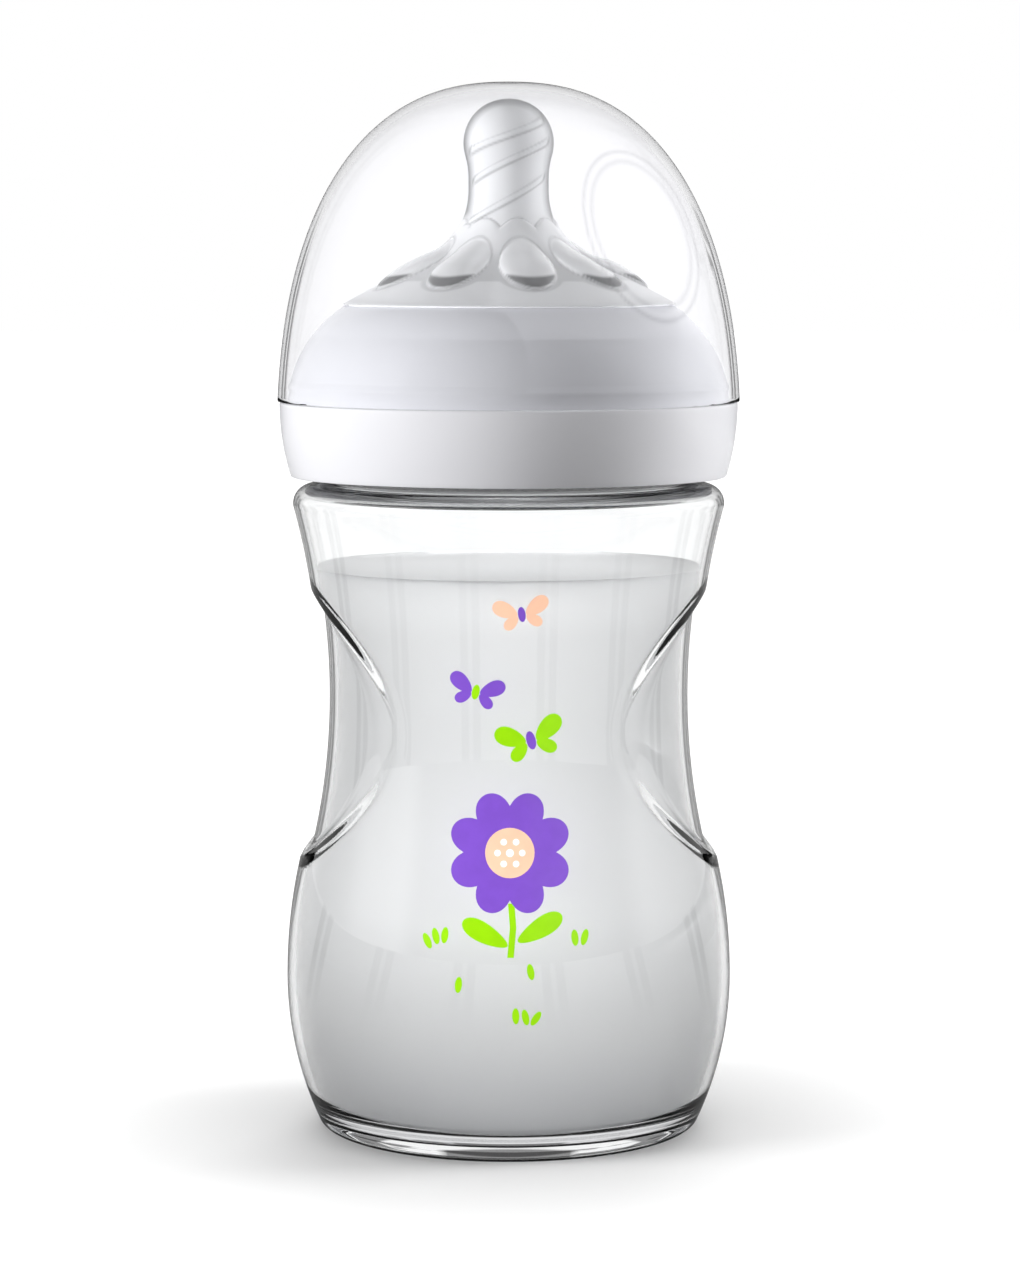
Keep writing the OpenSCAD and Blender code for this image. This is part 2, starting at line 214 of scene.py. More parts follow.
def side_radius(z, wall=0.0):
    """Radius of the body's side at heights z, away from the grips."""
    z = np.asarray(z, float)
    lower = lower_belly_x + np.sqrt(np.maximum((BELLY_CURVE - wall) ** 2 - (z - BELLY_Z) ** 2, 0))
    upper = upper_belly_x + np.sqrt(np.maximum((upper_belly_r - wall) ** 2 - (z - BELLY_Z) ** 2, 0))
    waist = waist_x - np.sqrt(np.maximum((WAIST_CURVE + wall) ** 2 - (z - WAIST_Z) ** 2, 0))
    join = BELLY_Z + upper_belly_r * math.sin(math.radians(belly_end))
    return np.where(z < BELLY_Z, lower, np.where(z < join, upper, waist))


def gripped(a, r, z, wall):
    """Radius r at angle a and height z, pressed in where a side grip is, on a surface wall mm inside."""
    across, along = np.abs(np.cos(a)), np.sin(a)
    curve = GRIP_PLAN + GRIP_CURVE - np.sqrt((GRIP_CURVE + wall) ** 2 - (z - WAIST_Z) ** 2)
    offset = GRIP_X - GRIP_PLAN
    flat = offset * across + np.sqrt(np.maximum(curve**2 - (offset * along) ** 2, 0))
    depth = r - flat
    depth = 0.5 * (depth + np.sqrt(depth**2 + GRIP_BLEND))
    grow = wall / GRIP_HALF_HEIGHT
    out = np.sqrt((r * along / (GRIP_HALF_WIDTH + wall)) ** 2
                  + ((z - GRIP_Z) / (GRIP_HALF_HEIGHT + wall)) ** 2)
    inside = smooth_step((1 + GRIP_BAND * (1 - grow) - out) / (2 * GRIP_BAND))
    inside = np.where(across > GRIP_SIDE, inside, 0)
    in_reach = (z > GRIP_LOW_Z) & (z < GRIP_HIGH_Z) & (r > GRIP_INNER_R)
    return np.where(in_reach, r - depth * inside, r)


def grip_edge(a, r, z):
    """1 along the edge of a side grip, 0 elsewhere."""
    out = np.sqrt((r * np.sin(a) / GRIP_HALF_WIDTH) ** 2 + ((z - GRIP_Z) / GRIP_HALF_HEIGHT) ** 2)
    band = smooth_step((2.2 * GRIP_BAND - np.abs(out - 1)) / GRIP_BAND)
    return np.where((np.abs(np.cos(a)) > GRIP_SIDE) & (r > GRIP_INNER_R), band, 0)


def helix_bump(a, z, first_z, first_angle, turns):
    """How much of a thread's rib stands at each angle and height, from 0 to 1."""
    out = np.zeros_like(z)
    degrees = np.degrees(a)
    for turn in range(-1, 3):
        along = degrees + 360 * turn - first_angle
        mid = first_z + PITCH * (degrees + 360 * turn) / 360
        fade = smooth_step(along / THREAD_FADE) * smooth_step((360 * turns - along) / THREAD_FADE)
        out = np.maximum(out, fade * smooth_step((THREAD_HALF - np.abs(z - mid)) / THREAD_FLANK))
    return out


def bottle_outline():
    """The body's outline in two parts: from under the base up to the rim, and from the rim down inside."""
    foot_x, foot_end = corner(0, FOOT_ROUND, 0)
    floor_x, floor_end = corner(BOTTLE_WALL, FLOOR_ROUND, FLOOR_Z)
    bore = NECK_R - NECK_WALL
    root, rim_low = NECK_ROOT_ROUND, RIM_Z - RIM_ROUND
    dish = [(DISH_R * math.sin(t), PUSH_UP * (0.28 + 0.72 * math.cos(t)))
            for t in np.linspace(0, math.pi / 2, 24)]
    under = dish + arc(FOOT_RING_R, FOOT_RING_ROUND, FOOT_RING_ROUND, 200, 270, 6)
    outside = (under + arc(foot_x, FOOT_ROUND, FOOT_ROUND, -90, foot_end, 8)
               + body_side(0, foot_end)[1:]
               + arc(NECK_R + root, SHOULDER_Z + root, root, 270, 180, 8)
               + spaced([(NECK_R, SHOULDER_Z + root), (NECK_R, rim_low)], THREAD_STEP)[1:]
               + arc(NECK_R - RIM_ROUND, rim_low, RIM_ROUND, 0, 90, 6)[1:])
    inner_top = SHOULDER_Z - BOTTLE_WALL
    inside = (arc(bore + RIM_ROUND, rim_low, RIM_ROUND, 90, 180, 6)
              + spaced([(bore, rim_low), (bore, inner_top + root)], 1.0)[1:]
              + arc(bore + root, inner_top + root, root, 180, 270, 8)[1:]
              + body_side(BOTTLE_WALL, floor_end)[::-1]
              + arc(floor_x, FLOOR_Z + FLOOR_ROUND, FLOOR_ROUND, floor_end, -90, 16)[1:]
              + spaced([(floor_x, FLOOR_Z), (0, FLOOR_Z)], 1.5)[1:])
    return outside, inside


def build_bottle():
    """The clear body with its grips and the neck's thread, and where the edges of the grips are."""
    outside, inside = bottle_outline()
    outer_count = len(outside)
    masks = {}

    def shape(a, r, z, index):
        wall = np.where(index < outer_count, 0.0, BOTTLE_WALL)
        masks["grip_edge"] = grip_edge(a, r, z)
        radius = gripped(a, r, z, wall)
        neck = (index < outer_count) & (z > SHOULDER_Z + 1) & (r > NECK_R - 0.05)
        rib = helix_bump(a, z, THREAD_Z, 0, NECK_TURNS)
        return placed(a, np.where(neck, radius + THREAD_DEPTH * rib, radius), z)

    obj = revolve("bottle_body", outside + inside, 288, shape)
    point_attribute(obj, "grip_edge", masks["grip_edge"], outside + inside)
    return obj


# ---------------------------------------------------------------- milk


def build_milk():
    """The milk, a thin gap away from the plastic so that the plastic keeps its own inner surface."""
    floor_x, floor_end = corner(BOTTLE_WALL, FLOOR_ROUND, FLOOR_Z)
    gap = BOTTLE_WALL + MILK_GAP
    side = [p for p in body_side(gap, floor_end) if p[1] < MILK_Z - 0.9]
    wall_r = float(side_radius(MILK_Z, gap))
    edge_z = MILK_Z + MENISCUS
    outline = (spaced([(0, FLOOR_Z + MILK_GAP), (floor_x, FLOOR_Z + MILK_GAP)], 2)
               + arc(floor_x, FLOOR_Z + FLOOR_ROUND, FLOOR_ROUND - MILK_GAP, -90, floor_end, 12)[1:]
               + side[1:] + [(float(side_radius(edge_z, gap)), edge_z)]
               + [(wall_r - 0.5, MILK_Z + 0.08), (wall_r - 1.4, MILK_Z)]
               + spaced([(wall_r - 1.4, MILK_Z), (0, MILK_Z)], 3)[1:])

    def shape(a, r, z, index):
        return placed(a, gripped(a, r, z, gap), z)

    return revolve("milk", outline, 192, shape)


# ---------------------------------------------------------------- screw ring


mouth_top_z = CROWN_Z + math.sqrt(CROWN_R**2 - (MOUTH_R - CROWN_X) ** 2)


def build_ring():
    """The white ring: skirt, ledge, snap bead, crown and mouth outside, and the thread inside."""
    skirt_x = LEDGE_R - SKIRT_CURVE
    low = -math.degrees(math.asin((LEDGE_Z - RING_Z) / SKIRT_CURVE))
    high = -math.degrees(math.asin(LEDGE_ROUND / SKIRT_CURVE))
    base_x = CROWN_X + math.sqrt(CROWN_R**2 - (LEDGE_Z - CROWN_Z) ** 2)
    snap_r = CROWN_X + math.sqrt(CROWN_R**2 - (SNAP_Z - CROWN_Z) ** 2)
    crown_first = math.degrees(math.asin((SNAP_Z + 0.9 - CROWN_Z) / CROWN_R))
    crown_last = math.degrees(math.acos((MOUTH_R + 0.45 - CROWN_X) / CROWN_R))
    inner_r = CROWN_R - CROWN_WALL
    skirt = arc(skirt_x, LEDGE_Z, SKIRT_CURVE, low + 0.5, high, 26)
    foot = (skirt[0][0] - 0.32, RING_Z)
    outside = ([(RING_BORE + 0.5, RING_Z), foot, (foot[0] + 0.2, RING_Z + 0.08)] + skirt
               + arc(LEDGE_R - LEDGE_ROUND, LEDGE_Z - LEDGE_ROUND, LEDGE_ROUND, 4, 90, 6)[1:]
               + [(base_x + 0.15, LEDGE_Z), (base_x, LEDGE_Z + 0.15), (snap_r, SNAP_Z - 0.8),
                  (snap_r + 0.17, SNAP_Z - 0.25), (snap_r + 0.2, SNAP_Z), (snap_r + 0.15, SNAP_Z + 0.3)]
               + arc(CROWN_X, CROWN_Z, CROWN_R, crown_first, crown_last, 40)
               + arc(MOUTH_R + 0.4, mouth_top_z - 0.62, 0.4, 60, 180, 6))
    inside = (arc(CROWN_X, CROWN_Z, inner_r, math.degrees(math.acos((MOUTH_R - CROWN_X) / inner_r)),
                  math.degrees(math.acos((RING_BORE - CROWN_X) / inner_r)), 20)
              + spaced([(RING_BORE, BORE_TOP_Z), (RING_BORE, RING_Z + 0.5)], THREAD_STEP))

    def shape(a, r, z, index):
        bore = (index >= len(outside)) & (r < RING_BORE + 0.05) & (z < RING_THREAD_TOP)
        rib = helix_bump(a, z, THREAD_Z - RIB_DROP, RING_FIRST_ANGLE, RING_TURNS)
        return placed(a, np.where(bore, r - RING_RIB * rib, r), z)

    return revolve("ring_white", outside + inside, 256, shape, closed=True, sharp=30)


# ---------------------------------------------------------------- teat

tip_mid = TEAT_HIGH.z - TIP_R
flare_x = STEM_R + FLARE
upper_flare = tip_mid - math.sqrt((TIP_R + FLARE) ** 2 - flare_x**2)
tip_end = math.degrees(math.atan2(upper_flare - tip_mid, flare_x))
lower_flare = upper_flare - STEM_LENGTH
cone_slope = math.tan(math.radians(CONE_ANGLE))
cone_top_z = lower_flare - FLARE * math.sin(math.radians(CONE_ANGLE))
cone_top_r = flare_x - FLARE * math.cos(math.radians(CONE_ANGLE))
petal_z = cone_top_z - (PETAL_MID_R - cone_top_r) / cone_slope
flange_z = RIM_Z + 0.05


def spirals_at(a, z):
    """For each spiral rib, the height above its middle line and how much of the rib is left, from 0 to 1."""
    for mid_angle in (-90, 90):
        turn = (np.degrees(a) - mid_angle + 180) % 360 - 180
        ends = smooth_step((SPIRAL_REACH - np.abs(turn)) / SPIRAL_FADE)
        for mid_z, rise in SPIRALS:
            yield z - mid_z - rise * np.radians(turn), ends


def soft_line(off, width):
    """1 where off is 0, falling smoothly to 0 on both sides."""
    return np.exp(-(off / width) ** 2)


def spiral_bump(a, z):
    """Height of the spiral ribs above the stem, from 0 to 1."""
    out = np.zeros_like(z)
    for off, ends in spirals_at(a, z):
        out = np.maximum(out, ends * smooth_step((0.62 - np.abs(off)) / 0.2))
    return out


def spiral_shade_lines(a, z):
    """1 on the painted shade line along the lower edge of each spiral rib, and 0.6 along the upper edge."""
    out = np.zeros_like(z)
    for off, ends in spirals_at(a, z):
        out = np.maximum(out, ends * soft_line(off + 0.52, 0.2))
        out = np.maximum(out, 0.6 * ends * soft_line(off - 0.56, 0.16))
    return out


def petal_shape(a, slope_distance, r):
    """How a point lies in its petal, for distances down the cone from the petals' middle.

    Returns 1 minus the squared distance from the petal's middle, how far the petal stands out, the dark
    crescent of painted shade at its lower end, and the zone between the petals, which gets painted shade too.
    """
    step = 2 * np.pi / PETALS
    off = (a - math.radians(FIRST_PETAL) + step / 2) % step - step / 2
    across = off * r / (4.35 + 0.055 * slope_distance)
    along = slope_distance / np.where(slope_distance < 0, 8.0, 7.0)
    inside = 1 - across**2 - along**2
    crest = 0.75 + 0.25 * smooth_step((along + 1) / 1.3)
    shade = smooth_step((along - 0.58 + 0.35 * across**2) / 0.14) * smooth_step((inside - 0.02) / 0.1)
    # The zone round and between the petals' lower ends, which gets painted shade
    around = np.maximum((1 - (across / 1.35) ** 2 - (along / 1.14) ** 2) / 0.12, (4.4 - slope_distance) / 0.4)
    around = smooth_step(around) * smooth_step(-inside / 0.06)
    return inside, crest * np.clip(inside, 0, 1) ** 0.5, shade, around


def build_teat():
    """The teat: flange, lip, groove, cone with petals, stem and tip, and the masks for its material."""
    groove_r, collar_r = MOUTH_R - 0.3, MOUTH_R + 0.75
    groove_top = mouth_top_z - 0.1
    shoulder_r = CROWN_R - CROWN_WALL - 0.25
    lip_r, flange_r, bore_r = NECK_R - NECK_WALL - 0.25, TEAT_FLANGE_R, TEAT_BORE_R
    cone_low_r = collar_r - 0.25
    cone_low_z = cone_top_z - (cone_low_r - cone_top_r) / cone_slope
    cone_line = spaced([(cone_low_r, max(cone_low_z, groove_top + 0.28)), (cone_top_r, cone_top_z)], 0.3)
    shoulder_low, shoulder_high = (
        math.degrees(math.acos((r - CROWN_X) / shoulder_r)) for r in (flange_r, groove_r))
    outside = ([(bore_r, flange_z - 1.3), (lip_r - 0.2, flange_z - 1.3), (lip_r, flange_z - 0.9),
                (lip_r, flange_z), (flange_r - 0.2, flange_z), (flange_r, flange_z + 0.2)]
               + arc(CROWN_X, CROWN_Z, shoulder_r, shoulder_low, shoulder_high, 16)
               + [(groove_r, groove_top), (collar_r, groove_top), (collar_r, groove_top + 0.12)]
               + cone_line
               + arc(flare_x, lower_flare, FLARE, 180 + CONE_ANGLE, 180, 44)[1:]
               + spaced([(STEM_R, lower_flare), (STEM_R, upper_flare)], 0.3)[1:]
               + arc(flare_x, upper_flare, FLARE, 180, 180 + tip_end, 14)[1:]
               + arc(0, tip_mid, TIP_R, tip_end, 82, 40)[1:]
               + [(FLOW_HOLE_R + 0.25, TEAT_HIGH.z - 0.04), (FLOW_HOLE_R, TEAT_HIGH.z - 0.25)])
    cavity_r = FLARE + TEAT_WALL
    cavity_top = (flare_x - cavity_r * math.cos(math.radians(CONE_ANGLE)),
                  lower_flare - cavity_r * math.sin(math.radians(CONE_ANGLE)))
    low_r = groove_r - TEAT_WALL - 0.4
    low = (low_r, cavity_top[1] - (low_r - cavity_top[0]) / cone_slope)
    top_in = TIP_R - TEAT_WALL
    inside = ([(FLOW_HOLE_R, tip_mid + top_in + 0.1)]
              + arc(0, tip_mid, top_in, 84, tip_end, 26)
              + arc(flare_x, upper_flare, cavity_r, 180 + tip_end, 180, 12)[1:]
              + arc(flare_x, lower_flare, cavity_r, 180, 180 + CONE_ANGLE, 26)
              + spaced([cavity_top, low], 0.8)[1:]
              + [(low_r, low[1] - 1.5), (bore_r, flange_z + 0.6)])
    count = len(outside)
    masks = {}
    sin_c, cos_c = math.sin(math.radians(CONE_ANGLE)), math.cos(math.radians(CONE_ANGLE))

    def shape(a, r, z, index):
        outer = index < count
        above = z > mouth_top_z + 0.6
        slope = (r - PETAL_MID_R) * sin_c - (z - petal_z) * cos_c
        petal, raised, shade, around = petal_shape(a, slope, r)
        on_cone = outer & above & (r > PETAL_TOP_R)
        on_stem = outer & (z > SPIRAL_LOW_Z) & (r < SPIRAL_MAX_R)
        below_wave = outer & (z < WAVE_TOP_Z)
        petal = np.where(on_cone, petal, -1)
        raised = np.where(on_cone, PETAL_RAISED * raised, 0)
        rib = np.where(on_stem, spiral_bump(a, z), 0)
        wave = WAVE_Z + WAVE_HEIGHT * np.abs(np.cos(PETALS / 2 * (a - math.radians(FIRST_PETAL)))) ** 0.8
        band = WAVE_RAISED * smooth_step((wave - z) / 0.3) * smooth_step((z - WAVE_LOW_Z) / 2.5)
        lift = np.maximum(raised, np.where(below_wave, band, 0))
        out_r = r + SPIRAL_RAISED * rib + lift * cos_c
        out_z = z + lift * sin_c * smooth_step((wave + 0.8 - z) / 2)
        masks["petal"] = np.where(outer, smooth_step((petal + 0.02) / 0.16), 0)
        # Painted shade: a dark crescent at the lower end of each petal
        masks["dark"] = np.where(on_cone, 0.9 * shade, 0)
        # The zone between the petals gets painted shade
        low_cone = on_cone & (z < PETAL_TOP_Z)
        masks["around"] = np.where(low_cone, around * smooth_step((PETAL_TOP_Z - z) / 3), 0)
        masks["stem"] = np.where(outer, smooth_step((z - wave + 0.6) / 2), 0)
        # Painted shade lines along the ribs' edges, the wave's upper edge and round the petals
        spiral_line = np.where(on_stem, spiral_shade_lines(a, z), 0)
        wave_line = np.where(below_wave, 0.8 * soft_line(z - wave - 0.05, 0.14), 0)
        petal_line = np.where(on_cone, 0.7 * soft_line(petal + 0.03, 0.055), 0)
        masks["line"] = np.maximum(np.maximum(spiral_line, wave_line), petal_line)
        return placed(a, out_r, out_z)

    obj = revolve("teat_silicone", outside + inside, 360, shape, closed=True, sharp=50)
    for name, values in masks.items():
        point_attribute(obj, name, values, outside + inside)
    return obj


# ---------------------------------------------------------------- dome cap


def dome_radius(r, rise, z):
    """Radius at height z of a dome that is r wide at its middle height."""
    return r * (1 - ((z - DOME_MID) / rise) ** DOME_POWER) ** (1 / DOME_POWER)


def dome_outline(r, rise, z):
    """The dome's outline from height z to its top."""
    start = math.asin(((z - DOME_MID) / rise) ** (DOME_POWER / 2))
    line = []
    for t in np.linspace(start, math.pi / 2, DOME_SAMPLES):
        x = r * max(math.cos(t), 0) ** (2 / DOME_POWER) if t < math.pi / 2 - 1e-9 else 0.0
        line.append((x, DOME_MID + rise * math.sin(t) ** (2 / DOME_POWER)))
    return line


def even(points, step):
    """The same line with points evenly apart."""
    p = np.array(points)
    along = np.concatenate([[0], np.cumsum(np.hypot(*np.diff(p, axis=0).T))])
    at = np.linspace(0, along[-1], max(2, round(along[-1] / step)))
    return list(zip(np.interp(at, along, p[:, 0]), np.interp(at, along, p[:, 1])))


def build_cap():
    """The dome cap, pressed in at the thumb recess, and where the painted shade lines round the recess are.
    """
    rim_z = CAP_LOW.z
    rim_r = dome_radius(DOME_R, DOME_RISE, rim_z)
    inner_r = rim_r - CAP_WALL
    outside = ([(inner_r + 0.25, rim_z), (rim_r - 0.3, rim_z), (rim_r - 0.08, rim_z + 0.08)]
               + even(dome_outline(DOME_R, DOME_RISE, rim_z + 0.3), DOME_STEP))
    inside = (even(dome_outline(DOME_R - CAP_WALL, DOME_RISE - CAP_WALL, rim_z + 2.0), DOME_STEP)[::-1]
              + [(inner_r - 0.1, 118.6), (inner_r, 118.0), (inner_r, rim_z + 0.25)])
    count = len(outside)
    slope = dome_radius(DOME_R, DOME_RISE, THUMB_Z - 0.5) - dome_radius(DOME_R, DOME_RISE, THUMB_Z + 0.5)
    tilt = math.atan(slope)
    turn = math.radians(THUMB_ANGLE)
    out = np.array([math.cos(tilt) * math.cos(turn), math.cos(tilt) * math.sin(turn), math.sin(tilt)])
    r = dome_radius(DOME_R, DOME_RISE, THUMB_Z)
    middle = np.array([r * math.cos(turn), r * math.sin(turn), THUMB_Z])
    masks = {}

    def shape(a, r, z, index):
        xyz = placed(a, r, z)
        wall = np.where(index < count, 0.0, CAP_WALL)
        local = xyz - middle
        height = local @ out
        aside = np.linalg.norm(local - height[..., None] * out, axis=-1)
        floor = -THUMB_DEPTH - wall + aside**2 / (2 * (THUMB_CURVE + wall))
        over = height - floor
        press = np.where(aside < THUMB_REACH, 0.5 * (over + np.sqrt(over**2 + THUMB_ROUND**2)), 0)
        press = np.where(over > -2.5, press * smooth_step((over + 2.5) / 1.5), 0)
        # Two painted shade lines round the recess
        outline = soft_line(over, 0.13) + 0.8 * soft_line(over - 0.6, 0.15)
        masks["outline"] = np.where((index < count) & (aside < THUMB_LINE_REACH), np.clip(outline, 0, 1), 0)
        return xyz - press[..., None] * out

    obj = revolve("cap_clear", outside + inside, 384, shape, closed=True, sharp=45)
    point_attribute(obj, "outline", masks["outline"], outside + inside)
    return obj


# ---------------------------------------------------------------- printed patches

PRINTS = []


def print_patch(name, shapes, material, lift):
    """Thin closed patches of ink on the front of the body, lift mm off it.

    Each shape is an outline of (x, z) points. Its mesh is rings round the outline's middle.
    """
    vertices, faces = [], []
    rings = INK_RINGS
    for outline in shapes:
        line = np.array(outline)
        middle = line.mean(0)
        n = len(line)
        for face_lift in (lift, lift - INK_THICK):
            base = len(vertices)
            flat = [middle] + [middle + (p - middle) * k / rings for k in range(1, rings + 1) for p in line]
            for x, z in flat:
                r = float(side_radius(z)) + face_lift
                vertices.append((x, -math.sqrt(r * r - x * x), z))
            loops = [[base, base + 1 + i, base + 1 + (i + 1) % n] for i in range(n)]
            for k in range(rings - 1):
                low, high = base + 1 + k * n, base + 1 + (k + 1) * n
                loops += [[low + i, high + i, high + (i + 1) % n, low + (i + 1) % n] for i in range(n)]
            faces += loops if face_lift == lift else [f[::-1] for f in loops]
            if face_lift != lift:
                top = base - (1 + rings * n) + 1 + (rings - 1) * n
                bottom = base + 1 + (rings - 1) * n
                faces += [[top + (i + 1) % n, top + i, bottom + i, bottom + (i + 1) % n] for i in range(n)]
    obj = make_object(name, vertices, faces, sharp=60)
    obj.data.materials.append(material)
    obj.visible_shadow = False
    obj.visible_diffuse = False
    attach(obj, "bottle")
    PRINTS.append(obj)


def ellipse(x, z, half_width, half_height, turn=0.0, taper=0.0, count=40):
    """Outline of an ellipse turned by some degrees. taper narrows its lower end."""
    t = np.linspace(0, 2 * np.pi, count, endpoint=False)
    u = half_width * np.cos(t) * (1 + taper * np.sin(t))
    v = half_height * np.sin(t)
    c, s = math.cos(math.radians(turn)), math.sin(math.radians(turn))
    return np.stack([x + u * c - v * s, z + u * s + v * c], -1)


# ---------------------------------------------------------------- materials

PLASTIC_TINT, CAP_TINT = (0.985, 0.99, 0.992), (0.945, 0.945, 0.957)
# Colours of the plastic where it is seen edge-on: painted shade for its dark edges
PLASTIC_EDGE_SHADE, GRIP_EDGE_SHADE, CAP_EDGE_SHADE = (0.03, 0.03, 0.03), (0.55, 0.55, 0.55), (0.82, 0.82, 0.83)
# Painted shade: a dark band at the neck's root and dark streaks round the foot
NECK_ROOT_SHADE, FOOT_SHADE = (0.13, 0.13, 0.132, 1), (0.08, 0.08, 0.081, 1)
# Painted shade lines round the thumb recess
THUMB_LINE_SHADE = (0.66, 0.66, 0.68, 1)
# Heights in mm between which the neck's root and the foot get painted shade: clear, full, full, clear
NECK_ROOT_HEIGHTS, FOOT_HEIGHTS = (103.9, 104.3, 106.0, 106.6), (0.2, 0.4, 1.9, 2.1)
LAMP_THROUGH_CLEAR, LAMP_THROUGH_TEAT = (0.97, 0.975, 0.98, 1), (0.9, 0.9, 0.9, 1)
CONE_GREY, STEM_GREY = (0.91, 0.91, 0.915, 1), (0.80, 0.80, 0.805, 1)
# Painted shade: between the petals, and on the stem where it is seen edge-on
BETWEEN_PETALS_SHADE, TEAT_EDGE_SHADE = (0.55, 0.55, 0.555, 1), (0.20, 0.20, 0.205, 1)
# Painted shade: lines along the teat's ribs and edges, and crescents at the petals' lower ends
TEAT_LINE_SHADE, CRESCENT_SHADE = (0.42, 0.42, 0.425, 1), (0.10, 0.10, 0.102, 1)
# Brightness of the milk's colour by height, in tenths of a metre: painted shade, darker towards the base
MILK_SHADE_TONES = [(0.04, 0.43), (0.10, 0.48), (0.16, 0.54), (0.26, 0.63), (0.38, 0.75),
              (0.50, 0.765), (0.68, 0.718), (0.82, 0.73), (0.91, 0.89)]
# Painted shade that cools the milk towards its base
MILK_COOL_SHADE = (0.97, 0.975, 1.0, 1)
FINE_GRAIN = 0.00005  # depth of the finest bumps, in metres
# Sockets of a Mix node that mixes colours
MIX_FACTOR, MIX_A, MIX_B, MIX_RESULT = 0, 6, 7, 2


def new_material(name):
    """An empty node material, its tree and its output node."""
    material = bpy.data.materials.new(name)
    material.use_nodes = True
    tree = material.node_tree
    tree.nodes.clear()
    output = tree.nodes.new("ShaderNodeOutputMaterial")
    return material, tree, output


def node(tree, kind, inputs=None, **settings):
    """A new node. An input is either a socket to link or a value to set."""
    n = tree.nodes.new(kind)
    for key, value in settings.items():
        setattr(n, key, value)
    for key, value in (inputs or {}).items():
        if isinstance(value, bpy.types.NodeSocket):
            tree.links.new(value, n.inputs[key])
        else:
            n.inputs[key].default_value = value
    return n


def math_node(tree, operation, *values):
    return node(tree, "ShaderNodeMath", dict(enumerate(values)), operation=operation).outputs[0]


def map_range(tree, value, low, high, to_low=0.0, to_high=1.0, **settings):
    """The value's place between low and high, held within to_low and to_high."""
    inputs = {"Value": value, "From Min": low, "From Max": high, "To Min": to_low, "To Max": to_high}
    return node(tree, "ShaderNodeMapRange", inputs, **settings).outputs["Result"]


def blend(tree, factor, a, b, how="MIX"):
    """Colour a where the factor is 0 and colour b, or a mixed with b in another way, where it is 1."""
    return node(tree, "ShaderNodeMix", {MIX_FACTOR: factor, MIX_A: a, MIX_B: b},
                data_type="RGBA", blend_type=how).outputs[MIX_RESULT]


def grey_ramp(tree, value, stops):
    """A colour ramp of greys through (place, brightness) stops."""
    ramp = node(tree, "ShaderNodeValToRGB", {"Fac": value})
    elements = ramp.color_ramp.elements
    while len(elements) < len(stops):
        elements.new(0.5)
    for element, (place, grey) in zip(elements, stops):
        element.position = place
        element.color = (grey, grey, grey, 1)
    return ramp.outputs["Color"]


def noise_range(tree, scale, low, high, detail=3.0):
    """A value that wanders between low and high over the surface."""
    place = node(tree, "ShaderNodeTexCoord").outputs["Object"]
    noise = node(tree, "ShaderNodeTexNoise", {"Vector": place, "Scale": scale, "Detail": detail})
    return map_range(tree, noise.outputs["Fac"], 0.35, 0.65, low, high)


def grain_bump(tree, scale, detail, strength):
    """A normal with a very fine grain."""
    grain = noise_range(tree, scale, 0, 1, detail)
    inputs = {"Height": grain, "Strength": strength, "Distance": FINE_GRAIN}
    return node(tree, "ShaderNodeBump", inputs).outputs[0]


def mask(tree, name):
    """A value that was stored on the mesh."""
    return node(tree, "ShaderNodeAttribute", attribute_name=name).outputs["Fac"]


def through_lamps(tree, shader, tint, output):
    """Lets lamp light straight through, so that what is inside is lit."""
    shadow_ray = node(tree, "ShaderNodeLightPath").outputs["Is Shadow Ray"]
    clear = node(tree, "ShaderNodeBsdfTransparent", {"Color": tint})
    mix = node(tree, "ShaderNodeMixShader", {0: shadow_ray, 1: shader, 2: clear.outputs[0]})
    tree.links.new(mix.outputs[0], output.inputs["Surface"])


def edge_on(tree, first, last):
    """0 where the surface faces the view and 1 where it is seen edge-on."""
    facing = node(tree, "ShaderNodeLayerWeight", {"Blend": 0.5}).outputs["Facing"]
    return map_range(tree, facing, first, last)


def shaded_edge_tint(tree, tint, rim, first, last):
    """A colour that goes from tint to rim where the surface is seen edge-on: painted shade for its edges."""
    return blend(tree, edge_on(tree, first, last), (*tint, 1), (*rim, 1))


def height_part(tree, height, clear_below, full_from, full_to, clear_above):
    """1 between two heights in mm, fading to 0 outside them."""
    low = map_range(tree, height, clear_below * MM, full_from * MM)
    high = map_range(tree, height, clear_above * MM, full_to * MM)
    return math_node(tree, "MULTIPLY", low, high)


def foot_shade_streaks(tree, xyz):
    """Where the foot gets painted shade: round the middle of each quarter, and in streaks elsewhere."""
    height = xyz.outputs["Z"]
    turn = math_node(tree, "ARCTAN2", xyz.outputs["X"], xyz.outputs["Y"])
    quarter = math_node(tree, "PINGPONG", math_node(tree, "ABSOLUTE", turn), math.pi / 4)
    middle = map_range(tree, quarter, 0.37, 0.31)
    flat = node(tree, "ShaderNodeCombineXYZ", {"X": turn, "Y": math_node(tree, "MULTIPLY", height, 900)})
    noise = node(tree, "ShaderNodeTexNoise", {"Vector": flat.outputs[0], "Scale": 2.6, "Detail": 2.0})
    streak = map_range(tree, noise.outputs["Fac"], 0.50, 0.58)
    streaks = math_node(tree, "MAXIMUM", streak, middle)
    return math_node(tree, "MULTIPLY", streaks, height_part(tree, height, *FOOT_HEIGHTS))


def clear_plastic(material, tree, output, colour, ior):
    """Polished clear plastic that lamp light passes straight through."""
    bsdf = node(tree, "ShaderNodeBsdfPrincipled", {
        "Base Color": colour, "Transmission Weight": 1.0, "IOR": ior,
        "Roughness": noise_range(tree, 60, 0.0036, 0.009)})
    through_lamps(tree, bsdf.outputs[0], LAMP_THROUGH_CLEAR, output)
    return material


